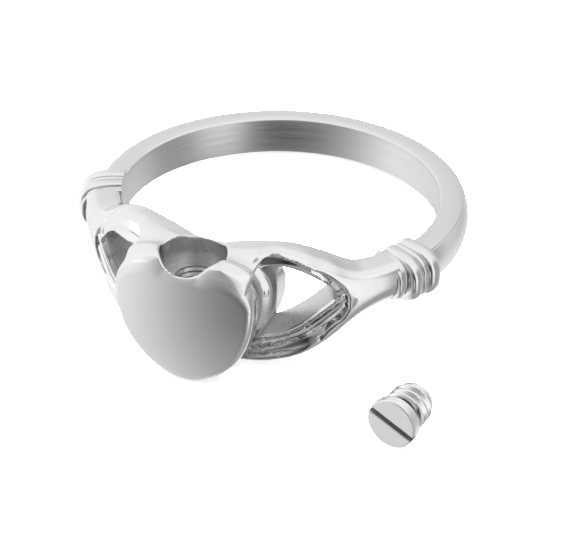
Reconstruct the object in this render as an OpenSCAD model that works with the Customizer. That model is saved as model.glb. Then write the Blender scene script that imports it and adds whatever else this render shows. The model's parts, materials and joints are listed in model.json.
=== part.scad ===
// Claddagh memorial ring: a crowned band with two beaded cuffs, two hands and
// a hollow heart vessel, lying on its side, with the vessel's closure screw
// beside it. Millimetres, +Z up, origin at the centre of the finger bore.

/* [Band] */
// Radius of the finger bore
bore_r = 8.67; // [7:0.01:11.5]
// Width of the band along the finger
band_w = 2.16; // [1.6:0.02:3]
// Thickness of the band at its crown
band_t = 1.58; // [1.3:0.02:2.4]
// Thickness of the band at its two edges
band_edge_t = 1.25; // [0.8:0.01:1.28]

/* [Cuffs] */
// Angle from the heart's middle to the front end of each cuff
cuff_at = 61; // [56:0.5:66]
// Angle that each cuff spans round the ring
cuff_span = 16; // [12:0.5:20]
// Thickness of a cuff over its largest bead
cuff_t = 2.38; // [2:0.02:3]
// Height of a cuff's top above the bore's middle
cuff_rise = 1.5; // [1.3:0.02:2]
// Drop of a cuff's bottom below the bore's middle
cuff_drop = 1.42; // [1.3:0.02:2]
// Depth of the grooves between the beads
cuff_groove = 0.32; // [0.1:0.01:0.5]

/* [Hands] */
// Thickness of a hand at its front ridge
hand_t = 1.76; // [1.4:0.02:2.4]
// Extra thickness at the middle of the wrist's rounded face
wrist_crown = 0.24; // [0.05:0.01:0.5]
// Radius of the wrist's lower corner
wrist_round = 1; // [0.4:0.05:1.1]
// Height of the thumb's highest point above the bore's middle
thumb_rise = 3.02; // [2.4:0.02:3.8]
// Drop of the fingers' lowest point below the bore's middle
finger_drop = 3.55; // [2.8:0.05:4.2]
// Height of the opening's top below the thumb, above the bore's middle
gap_rise = 2.15; // [1.6:0.05:2.4]
// Drop of the opening's lowest corner below the bore's middle
gap_drop = 2.5; // [1.8:0.05:2.7]
// Depth that the palm lies below the wrist's skin
palm_depth = 0.34; // [0.2:0.01:0.45]
// Depth of the grooves between the fingers
finger_groove = 0.16; // [0.05:0.01:0.3]

/* [Heart] */
// Distance from the bore to the middle of the domed face
heart_t = 3.93; // [3.2:0.01:5]
// Distance of each lobe's centre from the middle
lobe_x = 1.75; // [1.4:0.01:2.2]
// Height of the lobes' centres above the bore's middle
lobe_z = 0.7; // [0.3:0.01:1.2]
// Radius of each lobe
lobe_r = 2.08; // [1.8:0.01:2.5]
// Radius of the rounded tip
tip_r = 2.2; // [1.6:0.01:2.5]
// Drop of the tip below the bore's middle
tip_drop = 4.05; // [3.6:0.01:5]
// How much lower the tip reaches at the domed face than at the bore
front_drop = 0.36; // [0:0.01:0.5]
// Radius of the arcs that join each lobe to the tip
side_r = 4.8; // [4.4:0.05:7]
// Height of the cleft between the lobes above the bore's middle
cleft_z = 2.35; // [2.2:0.01:2.5]
// Share of the lobes' rise that is left at the finger bore
rear_rise = 0.84; // [0.7:0.01:1]
// Depth of the waist round the vessel behind its front rim
waist = 0.2; // [0.05:0.01:0.35]

/* [Chamber] */
// Thickness of the metal round the chamber
wall = 0.8; // [0.5:0.05:1.1]
// Thickness of the metal between the counterbore and the finger bore
rear_wall = 0.2; // [0.15:0.01:0.4]
// Radius of the counterbore that takes the screw's head
counterbore_r = 1.72; // [1.55:0.01:1.78]
// Depth of the counterbore below the cleft
counterbore_depth = 1.15; // [0.9:0.01:1.25]
// Radius of the threaded hole
tap_r = 1.02; // [0.8:0.01:1.1]
// Length of the threaded hole
tap_l = 1; // [0.8:0.02:1.4]

/* [Closure screw] */
// Gap between the screw's head and the counterbore's wall
head_gap = 0.34; // [0.1:0.01:0.45]
// Height of the screw's head
head_h = 0.9; // [0.6:0.02:1.1]
// Width of the slot
slot_w = 0.3; // [0.2:0.01:0.5]
// Depth of the slot
slot_depth = 0.4; // [0.2:0.02:0.5]
// How far the screw's thread stands over the tapped hole's radius
thread_bite = 0.16; // [0.08:0.01:0.24]
// Length of the screw below its head
shank_l = 1.75; // [1.5:0.05:2]
// Number of thread turns that show
thread_turns = 3; // [2:1:4]
// Distance of the screw's face from the bore's middle, to the side
screw_x = 12.1; // [11:0.01:18]
// Distance of the screw's face from the bore's middle, to the front
screw_y = 12.92; // [9:0.01:20]
// Turn of the screw on the surface, 0 with its face to the front
screw_turn = -6; // [-60:0.5:60]
// Roll of the screw about its own axis, 0 with its slot level
screw_roll = 24; // [-90:1:90]

/* [Hidden] */

$fn = 96;
steel = "#C9C9CB";

// How far lofts reach inside the bore before it is cut, and past the front
dig = 0.45;
past = 1.6;

dome_r = bore_r + heart_t;
tip_z = tip_r - tip_drop;
palm_r = bore_r + hand_t - palm_depth;
finger_root_r = palm_r - 0.45;
bore_y = bore_r + rear_wall + counterbore_r;
ledge_z = cleft_z - counterbore_depth;
chamber_z = ledge_z - tap_l;
head_r = counterbore_r - head_gap;
thread_r = tap_r + thread_bite;
root_r = thread_r - 0.15;
neck_r = thread_r - 0.32;
neck_h = 0.25;
edge = 0.08;
ridge_round = 0.25;
cuff_crown = 0.12;
cuff_round = 0.62 * cuff_rise;

// Crown circle of the band's section, through both edges and the crown
crown_drop = band_t - band_edge_t;
crown_r = (pow(band_w / 2, 2) + pow(crown_drop, 2)) / (2 * crown_drop);

// The ring rests on the vessel's tip, at the bore, and on the band's back edge
tilt = atan((tip_drop - band_w / 2) / (2 * bore_r + band_edge_t));
floor_z = bore_r * sin(tilt) - tip_drop * cos(tilt);

// Point at angle a from the heart's middle, radius r and height z
function at(a, r, z) = [r * sin(a), -r * cos(a), z];

// Mean of a ring's points
function middle(ring) = [for (c = [0 : 2]) sum(ring, c) / len(ring)];
function sum(ring, c, k = 0) = k == len(ring) ? 0 : ring[k][c] + sum(ring, c, k + 1);

// Solid through a list of point rings, each end closed to its middle
module loft(rings) {
    n = len(rings[0]);
    m = len(rings);
    polyhedron(
        points = concat(
            [for (ring = rings) each ring],
            [middle(rings[0]), middle(rings[m - 1])]
        ),
        faces = [
            for (j = [0 : n - 1]) each [
                [m * n, j, (j + 1) % n],
                [m * n + 1, (m - 1) * n + (j + 1) % n, (m - 1) * n + j]
            ],
            for (i = [0 : m - 2], j = [0 : n - 1]) each [
                [i * n + j, (i + 1) * n + j, (i + 1) * n + (j + 1) % n],
                [i * n + j, (i + 1) * n + (j + 1) % n, i * n + (j + 1) % n]
            ]
        ],
        convexity = 6
    );
}

// Band: its section, and the arc of it from cuff to cuff
module band_section() {
    intersection() {
        translate([bore_r - dig, -band_w / 2])
            square([band_t + dig, band_w]);
        translate([bore_r + band_t - crown_r, 0])
            circle(r = crown_r);
    }
    translate([bore_r - dig, -band_w / 2])
        square([band_edge_t + dig - 0.05, band_w]);
}

module band() {
    start = cuff_at + cuff_span / 2;
    rotate([0, 0, start - 90])
        rotate_extrude(angle = 360 - 2 * start)
            band_section();
}

// Section of a hand or cuff at angle a: back top, front top, bottom, thickness
// at the ridge, crown of the face and radii of the upper and lower corners
function limb_ring(a, zt, zf, zb, t, crown, r1, r2) =
    let (
        r = bore_r + t,
        hi = zf - r1,
        lo = zb + r2
    )
    concat(
        [at(a, bore_r - dig, zt + (zt - zf) * dig / t)],
        [for (q = [90 : -30 : 30])
            at(a, r - r1 + r1 * cos(q), hi + r1 * sin(q))],
        [for (k = [0 : 4])
            let (u = k / 4)
            at(a, r + crown * (1 - pow(2 * u - 1, 2)), hi + (lo - hi) * u)],
        [for (q = [-30 : -30 : -90])
            at(a, r - r2 + r2 * cos(q), lo + r2 * sin(q))],
        [at(a, bore_r - dig, zb)]
    );

// Hand stations: angle as a share of cuff_at, back top and front top as shares
// of thumb_rise, bottom as a share of finger_drop, crown as a share of
// wrist_crown, rounding of the lower corner as a share of wrist_round
hand_table = [
    [0.195, 0.795, 0.810, 0.985, 0.00, 0.2],
    [0.28, 0.894, 0.911, 1.000, 0.00, 0.2],
    [0.35, 0.960, 0.954, 0.985, 0.00, 0.2],
    [0.41, 1.000, 0.960, 0.950, 0.00, 0.2],
    [0.475, 0.987, 0.868, 0.895, 0.00, 0.2],
    [0.54, 0.934, 0.778, 0.820, 0.05, 0.2],
    [0.605, 0.854, 0.669, 0.725, 0.20, 0.3],
    [0.675, 0.755, 0.570, 0.610, 0.50, 0.5],
    [0.74, 0.646, 0.490, 0.500, 0.80, 0.7],
    [0.81, 0.535, 0.450, 0.385, 1.00, 0.9],
    [0.90, 0.490, 0.455, 0.300, 1.00, 1.0],
    [1.01, 0.480, 0.480, 0.272, 1.00, 1.0]
];

// Palm stations: angle as a share of cuff_at, upper border as a share of
// thumb_rise, lower border as a share of finger_drop
palm_table = [
    [0.17, 0.700, 1.100],
    [0.262, 0.810, 1.100],
    [0.332, 0.862, 1.100],
    [0.392, 0.878, 1.085],
    [0.457, 0.813, 1.060],
    [0.522, 0.723, 0.990],
    [0.587, 0.625, 0.760],
    [0.63, 0.555, 0.400],
    [0.67, 0.420, 0.230],
    [0.705, 0.285, 0.150],
    [0.728, 0.080, 0.060]
];

// Finger stations: angle as a share of cuff_at, top as a share of gap_drop,
// bottom as a share of finger_drop
finger_table = [
    [0.16, 0.960, 0.960],
    [0.275, 0.900, 0.990],
    [0.345, 0.775, 0.972],
    [0.415, 0.675, 0.935],
    [0.485, 0.530, 0.875],
    [0.555, 0.355, 0.790],
    [0.625, 0.145, 0.680],
    [0.685, -0.045, 0.560],
    [0.765, -0.060, 0.400]
];

// Opening stations: angle as a share of cuff_at, top as a share of gap_rise,
// bottom as a share of gap_drop
gap_table = [
    [0.235, 0.885, 0.965],
    [0.275, 0.930, 0.940],
    [0.345, 1.000, 0.800],
    [0.415, 0.995, 0.700],
    [0.475, 0.907, 0.585],
    [0.54, 0.753, 0.435],
    [0.605, 0.549, 0.240],
    [0.655, 0.360, 0.080],
    [0.685, 0.200, -0.010],
    [0.70, 0.090, -0.030]
];

// Sides of the finger ridges, as shares of the fingers' height from the top
finger_edges = [0, 0.19, 0.44, 0.77, 1];

module hand_body() {
    loft([for (s = hand_table)
        limb_ring(s[0] * cuff_at, s[1] * thumb_rise, s[2] * thumb_rise,
            -s[3] * finger_drop, hand_t, s[4] * wrist_crown, ridge_round,
            s[5] * wrist_round)]);
}

// A curved block between two radii, from a table of angle, top and bottom
module window(table, r1, r2, up, down) {
    loft([for (s = table) [
        at(s[0] * cuff_at, r1, s[1] * up),
        at(s[0] * cuff_at, r2, s[1] * up),
        at(s[0] * cuff_at, r2, -s[2] * down),
        at(s[0] * cuff_at, r1, -s[2] * down)
    ]]);
}

// Outer edge of the fingers at one station: a ridge, then a groove, downwards
function finger_ring(a, zt, zb) =
    let (
        r = palm_r + finger_groove,
        h = zt - zb
    )
    concat(
        [at(a, finger_root_r, zt)],
        [for (k = [0 : 3]) each
            let (
                z1 = zt - finger_edges[k] * h,
                z2 = zt - finger_edges[k + 1] * h,
                g = min(0.06, h * 0.04),
                d = k == 0 ? finger_groove / 2 : finger_groove
            )
            [at(a, r - d, z1), at(a, r, z1 - g * 2), at(a, r, z2 + g * 2)]],
        [at(a, r - finger_groove / 2, zb), at(a, finger_root_r, zb)]
    );

module fingers() {
    loft([for (s = finger_table)
        finger_ring(s[0] * cuff_at, -s[1] * gap_drop, -s[2] * finger_drop)]);
}

// Opening between the thumb and the fingers, cut straight through the hand
module opening() {
    middle_a = cuff_at * (gap_table[0][0] + gap_table[len(gap_table) - 1][0]) / 2;
    top = [for (s = gap_table)
        [palm_r * sin(s[0] * cuff_at - middle_a), s[1] * gap_rise]];
    low = [for (s = gap_table)
        [palm_r * sin(s[0] * cuff_at - middle_a), -s[2] * gap_drop]];
    rotate([90, 0, middle_a])
        translate([0, 0, bore_r - 2 * dig])
            linear_extrude(hand_t + past + 2 * dig)
                polygon(concat(low, [for (k = [len(top) - 1 : -1 : 0]) top[k]]));
}

module hand() {
    difference() {
        union() {
            difference() {
                hand_body();
                window(palm_table, palm_r, bore_r + hand_t + past,
                    thumb_rise, finger_drop);
            }
            fingers();
        }
        opening();
    }
}

// Cuff stations: share of cuff_span, share of the groove's depth cut, and the
// bottom as a share of cuff_drop
cuff_table = [
    [0.00, 0.95, 0.72], [0.015, 0.70, 0.73], [0.05, 0.55, 0.74], [0.085, 0.70, 0.75],
    [0.10, 1.30, 0.74], [0.25, 1.30, 0.82],
    [0.27, 0.90, 0.88], [0.31, 0.30, 0.93], [0.38, 0.02, 0.96], [0.45, 0.00, 0.97],
    [0.52, 0.10, 0.96], [0.57, 0.45, 0.94], [0.59, 0.95, 0.92], [0.63, 0.95, 0.92],
    [0.645, 0.60, 0.96], [0.68, 0.40, 0.98], [0.715, 0.55, 0.98], [0.73, 0.85, 0.97],
    [0.75, 0.45, 1.00], [0.81, 0.08, 1.02], [0.88, 0.00, 1.02], [0.95, 0.20, 1.01],
    [0.985, 0.55, 0.99], [1.00, 0.95, 0.96]
];

module cuff() {
    loft([for (s = cuff_table)
        let (c = s[1] * cuff_groove)
        limb_ring(cuff_at + s[0] * cuff_span, cuff_rise - c, cuff_rise - c,
            -s[2] * cuff_drop, cuff_t - cuff_crown - c, cuff_crown,
            cuff_round, 1.25 * cuff_round)]);
}

// Centre of the side arc, tangent inside both the lobe and the tip
lobe_gap = side_r - lobe_r;
tip_gap = side_r - tip_r;
span = norm([lobe_x, lobe_z - tip_z]);
along = (lobe_gap * lobe_gap - tip_gap * tip_gap + span * span) / (2 * span);
aside = sqrt(lobe_gap * lobe_gap - along * along);
down_x = -lobe_x / span;
down_z = (tip_z - lobe_z) / span;
side_x = lobe_x + along * down_x + aside * down_z;
side_z = lobe_z + along * down_z - aside * down_x;
lobe_end = atan2(lobe_z - side_z, lobe_x - side_x);
tip_end = atan2(tip_z - side_z, -side_x);

function arc(x, z, r, a1, a2, n) =
    [for (k = [0 : n]) let (a = a1 + (a2 - a1) * k / n) [x + r * cos(a), z + r * sin(a)]];

// Right half of the outline, from the cleft round to the tip, drawn in by i
function heart_half(i) =
    let (
        zc = cleft_z - i,
        r = lobe_r - i,
        start = 180 - asin((zc - lobe_z) / r)
    )
    concat(
        arc(lobe_x, lobe_z, r, start, lobe_end, 9),
        arc(side_x, side_z, side_r - i, lobe_end, tip_end, 8),
        arc(0, tip_z, tip_r - i, tip_end, -90, 5)
    );

function tidy(p) = [for (k = [0 : len(p) - 1])
    if (k == 0 || norm(p[k] - p[k - 1]) > 0.001) p[k]];

function heart_outline(i) =
    let (half = tidy(heart_half(i)), n = len(half))
    concat(
        [[0, cleft_z - i]],
        [for (p = half) [-p[0], p[1]]],
        [for (k = [n - 2 : -1 : 0]) half[k]]
    );

// Vessel stations: drawn in by a share of the waist, distance in front of the
// bore as a share of heart_t, how far the lobes and the tip reach, from 0 at
// the bore to 1 at the front, and the width's share of the outline's
skin_table = [
    [0.0, -0.12, 0.0, 1.035], [0.0, 0.12, 0.0, 1.035], [0.0, 0.22, 0.15, 1.02],
    [0.6, 0.28, 0.3, 1.0], [1.0, 0.34, 0.4, 1.0], [1.0, 0.42, 0.6, 1.0],
    [0.4, 0.50, 0.75, 1.0], [0.0, 0.57, 0.9, 1.0], [0.0, 0.74, 1.0, 1.0]
];
// Face stations: scale of the outline about its middle, distance from the
// bore to the face as a share of heart_t
face_table = [
    [1.005, 0.93], [0.995, 0.965], [0.97, 0.99], [0.93, 1],
    [0.82, 1], [0.6, 1], [0.35, 1], [0.1, 1]
];

face_z = lobe_z - 1;

// Height of an outline point, where k runs from 0 at the bore to 1 at the front
function flare(z, k) = z > lobe_z
    ? lobe_z + (z - lobe_z) * (rear_rise + (1 - rear_rise) * k)
    : z - front_drop * k * sin(90 * min(1, (lobe_z - z) / (lobe_z + tip_drop)));
function on_plane(p, y, k, wide) = [p[0] * wide, -y, flare(p[1], k)];
function on_ball(p, r) = [p[0], -sqrt(r * r - p[0] * p[0] - p[1] * p[1]), p[1]];
function shrink(p, k) = [p[0] * k, face_z + (p[1] - face_z) * k];

module vessel() {
    outline = heart_outline(0);
    loft(concat(
        [for (s = skin_table)
            [for (p = heart_outline(s[0] * waist))
                on_plane(p, bore_r + s[1] * heart_t, s[2], s[3])]],
        [for (s = face_table)
            [for (p = outline)
                on_ball(shrink([p[0], flare(p[1], 1)], s[0]), bore_r + s[1] * heart_t)]]
    ));
}

// Hollow inside the vessel, kept one wall inside the skin
module chamber() {
    intersection() {
        translate([0, -bore_r - wall, 0])
            rotate([90, 0, 0])
                linear_extrude(heart_t)
                    polygon(heart_outline(wall + waist));
        sphere(r = dome_r - wall);
        translate([-dome_r, -dome_r, chamber_z - 2 * dome_r])
            cube([2 * dome_r, dome_r, 2 * dome_r]);
    }
}

module screw_hole() {
    translate([0, -bore_y, ledge_z])
        cylinder(r = counterbore_r, h = thumb_rise + past - ledge_z);
    translate([0, -bore_y, chamber_z - 0.1])
        cylinder(r = tap_r, h = tap_l + 0.2);
}

module ring() {
    color(steel)
    rotate([-tilt, 0, 0])
    difference() {
        union() {
            band();
            for (side = [0, 1])
                mirror([side, 0, 0]) {
                    hand();
                    cuff();
                }
            vessel();
        }
        translate([0, 0, -thumb_rise - finger_drop])
            cylinder(r = bore_r, h = 2 * (thumb_rise + finger_drop), $fn = 192);
        screw_hole();
        chamber();
    }
}

// Rise of the screw's thread in one turn, and where its last ridge stands
thread_pitch = (shank_l - neck_h) / (thread_turns + 0.5);
last_ridge = neck_h + (thread_turns - 0.5) * thread_pitch;

// Half section of the screw: tip, thread ridges, neck and head, upwards
function screw_profile() = concat(
    [[0, -shank_l], [root_r - edge, -shank_l], [root_r, -shank_l + edge]],
    [for (k = [thread_turns - 1 : -1 : 0])
        let (z = -neck_h - (k + 0.5) * thread_pitch)
        each [
            [root_r, z - 0.4 * thread_pitch], [thread_r, z - 0.1 * thread_pitch],
            [thread_r, z + 0.1 * thread_pitch], [root_r, z + 0.4 * thread_pitch]
        ]],
    [
        [neck_r, -neck_h], [neck_r, 0],
        [head_r - edge, 0], [head_r, edge],
        [head_r, head_h - edge], [head_r - edge, head_h], [0, head_h]
    ]
);

module screw_body() {
    difference() {
        rotate_extrude()
            polygon(screw_profile());
        translate([-head_r - 1, -slot_w / 2, head_h - slot_depth])
            cube([2 * head_r + 2, slot_w, slot_depth + 1]);
    }
}

// The screw lies on the back edge of its head and on its last thread ridge
module closure_screw() {
    lean = atan((head_r - thread_r) / (last_ridge + edge));
    lift = head_r * cos(lean) + (head_h - edge) * sin(lean);
    color(steel)
    translate([screw_x, -screw_y, floor_z + lift])
        rotate([0, 0, screw_turn])
            rotate([90 - lean, 0, 0])
                rotate([0, 0, -screw_roll])
                    translate([0, 0, -head_h])
                        screw_body();
}

ring();
closure_screw();
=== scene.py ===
"""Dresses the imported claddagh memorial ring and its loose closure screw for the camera.

Every form is worked out in the ring's own frame, in millimetres: the bore's axis is z, the heart
looks towards -Y, and an angle is measured round the bore from the heart's middle, in degrees. The
finished points are then leaned over as the ring lies, and turned to metres. A form is a signed
distance, which is less than nothing inside.
"""

import json
import logging
import math
from dataclasses import dataclass, field
from enum import Enum
from typing import Any, Callable, Sequence

import bpy
import numpy as np
from mathutils import Matrix, Vector


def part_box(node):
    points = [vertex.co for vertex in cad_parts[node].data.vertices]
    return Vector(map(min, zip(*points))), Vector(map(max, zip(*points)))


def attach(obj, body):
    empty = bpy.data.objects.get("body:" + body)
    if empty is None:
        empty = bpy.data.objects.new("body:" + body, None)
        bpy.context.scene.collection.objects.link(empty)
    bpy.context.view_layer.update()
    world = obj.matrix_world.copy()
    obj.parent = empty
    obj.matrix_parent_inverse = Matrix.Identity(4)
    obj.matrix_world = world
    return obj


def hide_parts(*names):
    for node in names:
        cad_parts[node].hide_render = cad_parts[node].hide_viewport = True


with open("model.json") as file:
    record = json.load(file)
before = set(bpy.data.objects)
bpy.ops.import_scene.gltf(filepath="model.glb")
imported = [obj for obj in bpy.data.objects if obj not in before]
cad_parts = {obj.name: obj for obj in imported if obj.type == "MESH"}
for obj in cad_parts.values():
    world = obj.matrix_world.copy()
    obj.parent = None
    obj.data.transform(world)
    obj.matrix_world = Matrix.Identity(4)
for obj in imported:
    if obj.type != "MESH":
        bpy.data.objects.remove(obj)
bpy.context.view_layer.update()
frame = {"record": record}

log = logging.getLogger("claddagh")

Array = np.ndarray
Form = Callable[[Array, Array, Array], Array]
# Points, and faces as rows of four
Surface = tuple[Array, Array]
# Points in metres, faces, and each face's finish
Dressed = tuple[Array, Array, Array]
# The two values between which a smooth step runs
Span = tuple[float, float]
Table = tuple[tuple[float, ...], ...]

MM = 0.001
PHOTO_WIDTH, PHOTO_HEIGHT = 568, 540
# The bore's radius in millimetres
BORE_RADIUS = 8.67
# A face that is less than this past the bore's radius is the bore's own
BORE_SKIN = 0.02
# A steep relief overstates the distance to it, and this share of it comes near the truth
STEEP = 0.8
# A distance in millimetres that is past every form
FAR = 9.0
# Degrees past which an edge is drawn sharp
SHARP_EDGE = 38.0


class Finish(Enum):
    """The metal finishes, in the order of a piece's material slots."""

    POLISHED = 0
    BRUSHED = 1
    SATIN = 2
    # As-cast rough steel whose darker tint is painted shade in the grooves and the waist
    CAST_AND_SHADE = 3


class ScrewFinish(Enum):
    """The screw's finishes, in the order of its material slots."""

    TURNED = 0
    FACE = 1
    # The slot: rougher, with a darker tint that is painted shade
    SLOT = 2
    # The neck: black steel that is a painted shadow under the head
    NECK = 3


# Curves, and the joining of forms


def hermite(stations: Sequence[float], values: Sequence[float], at: Array) -> Array:
    """Reads a smooth curve through named stations.

    Each span is a cubic whose slopes at its ends are the mean slopes of the spans that meet there.

    Args:
        stations: Rising places of the given values.
        values: The curve's value at each station.
        at: Where it is read; outside the stations it keeps the end value.

    Returns:
        The curve's values, in the shape of at.
    """
    x, y = np.asarray(stations, float), np.asarray(values, float)
    slope = np.gradient(y, x)
    a = np.clip(at, x[0], x[-1])
    i = np.clip(np.searchsorted(x, a, side="right") - 1, 0, len(x) - 2)
    h = x[i + 1] - x[i]
    t = (a - x[i]) / h
    return (
        y[i] * (1 + 2 * t) * (1 - t) ** 2
        + slope[i] * h * t * (1 - t) ** 2
        + y[i + 1] * t * t * (3 - 2 * t)
        + slope[i + 1] * h * t * t * (t - 1)
    )


def read(table: Table, n: int, at: Array) -> Array:
    """Reads column n of a table as a smooth curve over the table's first column."""
    return hermite([row[0] for row in table], [row[n] for row in table], at)


def step(low: float, high: float, at: Array) -> Array:
    """A smooth step from 0 at low to 1 at high."""
    t = np.clip((at - low) / (high - low), 0, 1)
    return t * t * (3 - 2 * t)


def either(a: Array, b: Array, soft: Any = 0.0) -> Array:
    """The nearer of two forms; within soft millimetres they flow together in a fillet."""
    h = np.maximum(soft - np.abs(a - b), 0)
    return np.minimum(a, b) - h * h / (4 * np.maximum(soft, 1e-6))


def both(a: Array, b: Array, soft: Any = 0.0) -> Array:
    """What two forms share; their edge is rounded over soft millimetres."""
    return -either(-a, -b, soft)


@dataclass
class Stencil:
    """A closed outline in a plane, kept as a map of signed distances that is quick to read.

    The distance is the nearest edge's, less than nothing inside.
    """

    outline: Array
    pitch: float = 0.02
    reach: float = 1.6
    low: Array = field(init=False)
    chart: Array = field(init=False)

    def __post_init__(self) -> None:
        """Works the map out, an edge at a time over the whole map."""
        self.low = self.outline.min(0) - self.reach
        size = np.ceil((self.outline.max(0) + self.reach - self.low) / self.pitch).astype(int) + 1
        u = self.low[0] + self.pitch * np.arange(size[0])[:, None]
        v = self.low[1] + self.pitch * np.arange(size[1])[None, :]
        near = np.full(tuple(size), np.inf)
        inside = np.zeros(tuple(size), bool)
        for (ax, ay), (bx, by) in zip(self.outline, np.roll(self.outline, -1, 0)):
            dx, dy = bx - ax, by - ay
            t = np.clip(((u - ax) * dx + (v - ay) * dy) / (dx * dx + dy * dy + 1e-12), 0, 1)
            near = np.minimum(near, (u - ax - t * dx) ** 2 + (v - ay - t * dy) ** 2)
            if ay != by:
                inside ^= ((ay > v) != (by > v)) & (u < dx * (v - ay) / dy + ax)
        self.chart = np.where(inside, -1.0, 1.0) * np.sqrt(near)

    def __call__(self, u: Array, v: Array) -> Array:
        """Reads the signed distance, blended between the map's four points round each place.

        Args:
            u: Places along the plane's first axis.
            v: Places along its second.

        Returns:
            The distances; beyond the map's rim the way to the rim is added.
        """
        top = np.array(self.chart.shape) - 1.001
        gu, gv = (u - self.low[0]) / self.pitch, (v - self.low[1]) / self.pitch
        cu, cv = np.clip(gu, 0, top[0]), np.clip(gv, 0, top[1])
        i, j = cu.astype(int), cv.astype(int)
        s, t = cu - i, cv - j
        c = self.chart
        value = (c[i, j] * (1 - s) + c[i + 1, j] * s) * (1 - t) + (
            c[i, j + 1] * (1 - s) + c[i + 1, j + 1] * s
        ) * t
        return value + self.pitch * np.hypot(gu - cu, gv - cv)


# Meshes


def slopes(form: Form, p: Array, reach: float = 0.004) -> Array:
    """The direction in which a form's distance grows, by central differences, at unit length.

    Args:
        form: The form's signed distance.
        p: Points, as rows of three.
        reach: How far to each side the form is read.

    Returns:
        A direction for each point.
    """
    g = np.empty_like(p)
    for k in range(3):
        d = np.zeros(3)
        d[k] = reach
        g[:, k] = form(*(p + d).T) - form(*(p - d).T)
    return g / np.maximum(np.linalg.norm(g, axis=1, keepdims=True), 1e-12)


def cut_edges(value: Array, low: Array, pitch: float) -> list[tuple[int, Array, Array, Array]]:
    """Finds the edges between neighbouring samples on which a form's distance changes sign.

    The surface cuts such an edge where the distance, taken as a straight line, is nothing.

    Args:
        value: The form's distance at each sample.
        low: Place of the first sample.
        pitch: Step between samples.

    Returns:
        For each axis its number, its edges' first samples, whether they start inside, and where
        the surface cuts them.
    """
    found = []
    for k in range(3):
        head, tail = [slice(None)] * 3, [slice(None)] * 3
        head[k], tail[k] = slice(1, None), slice(None, -1)
        cut = (value[tuple(tail)] < 0) != (value[tuple(head)] < 0)
        for other in {0, 1, 2} - {k}:
            rim = [slice(None)] * 3
            rim[other] = [0, value.shape[other] - 1]
            cut[tuple(rim)] = False
        at = np.argwhere(cut)
        a, b = value[tuple(at.T)], value[tuple((at + np.eye(3, dtype=int)[k]).T)]
        point = np.asarray(low) + at * pitch
        point[:, k] += a / (a - b) * pitch
        found.append((k, at, a < 0, point))
    return found


def best_points(cube: Array, plane: Array, pitch: float) -> tuple[Array, Array]:
    """Finds each cube's point that lies best on its tangent planes.

    It makes the sum of the squared distances from the planes least, together with a small share
    of the squared way from the mean of the cube's cut points, which holds it where planes agree.

    Args:
        cube: The cube that each plane counts for.
        plane: A point on each plane and its unit normal, as rows of six.
        pitch: A cube's side, which bounds how far the point moves from the mean.

    Returns:
        The cubes' numbers, rising, and a point for each.
    """
    names, slot_of = np.unique(cube, return_inverse=True)
    count = np.bincount(slot_of).astype(float)
    p, n = plane[:, :3], plane[:, 3:]
    centre = np.stack([np.bincount(slot_of, p[:, k]) for k in range(3)], 1) / count[:, None]
    offset = np.einsum("ij,ij->i", n, p - centre[slot_of])
    ata = np.empty((len(names), 3, 3))
    atb = np.empty((len(names), 3))
    for r in range(3):
        atb[:, r] = np.bincount(slot_of, n[:, r] * offset)
        for c in range(3):
            ata[:, r, c] = np.bincount(slot_of, n[:, r] * n[:, c])
    hold, most = 0.06, 0.9 * pitch
    move = np.linalg.solve(ata + hold * np.eye(3), atb[:, :, None])[:, :, 0]
    return names, centre + np.clip(move, -most, most)


def skin(form: Form, low: Array, high: Array, pitch: float) -> Surface:
    """Draws the surface on which a form's distance is nothing.

    Space is cut in cubes. Each cube that the surface crosses gets the one point that lies best on
    the tangent planes where the surface cuts the cube's edges, so that sharp edges stay sharp, and
    each cut edge joins the points of the four cubes round it in a face.

    Args:
        form: The form's signed distance.
        low: Lowest corner of the space.
        high: Highest corner.
        pitch: A cube's side.

    Returns:
        The points, and the faces as rows of four.
    """
    axes = [np.arange(a, b + pitch, pitch) for a, b in zip(low, high)]
    value = form(*np.meshgrid(*axes, indexing="ij"))
    stride = np.array([value.shape[1] * value.shape[2], value.shape[2], 1])
    cubes, quads, planes = [], [], []
    for k, at, starts_inside, point in cut_edges(value, low, pitch):
        i, j = (k + 1) % 3, (k + 2) % 3
        round_edge = []
        for di, dj in ((0, 0), (-1, 0), (-1, -1), (0, -1)):
            c = at.copy()
            c[:, i] += di
            c[:, j] += dj
            round_edge.append(c @ stride)
        quad = np.stack(round_edge, 1)
        quad[~starts_inside] = quad[~starts_inside][:, ::-1]
        quads.append(quad)
        cubes.extend(round_edge)
        planes.extend([np.hstack([point, slopes(form, point)])] * 4)
    names, points = best_points(np.concatenate(cubes), np.concatenate(planes), pitch)
    return points, np.searchsorted(names, np.concatenate(quads))


def sweep(rings: Array) -> Surface:
    """Joins closed rings of points, one after the other, and closes both ends on their middles.

    Args:
        rings: Points by ring, by place in the ring, by axis.

    Returns:
        The points, and the faces as rows of four; an end's faces repeat the middle point.
    """
    m, n, _ = rings.shape
    i, j = np.meshgrid(np.arange(m - 1), np.arange(n), indexing="ij")
    nxt = (j + 1) % n
    side = np.stack([i * n + j, i * n + nxt, (i + 1) * n + nxt, (i + 1) * n + j], -1).reshape(-1, 4)
    k = np.arange(n)
    first, last = m * n, m * n + 1
    start = np.stack([np.full(n, first), (k + 1) % n, k, np.full(n, first)], 1)
    base = (m - 1) * n
    end = np.stack([np.full(n, last), base + k, base + (k + 1) % n, np.full(n, last)], 1)
    points = np.vstack([rings.reshape(-1, 3), rings[0].mean(0), rings[-1].mean(0)])
    return points, np.vstack([side, start, end])


def mirrored(points: Array, faces: Array) -> Surface:
    """The same surface on the other side of x = 0, with its faces turned to look outwards."""
    return points * np.array([-1.0, 1.0, 1.0]), faces[:, ::-1]


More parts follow.
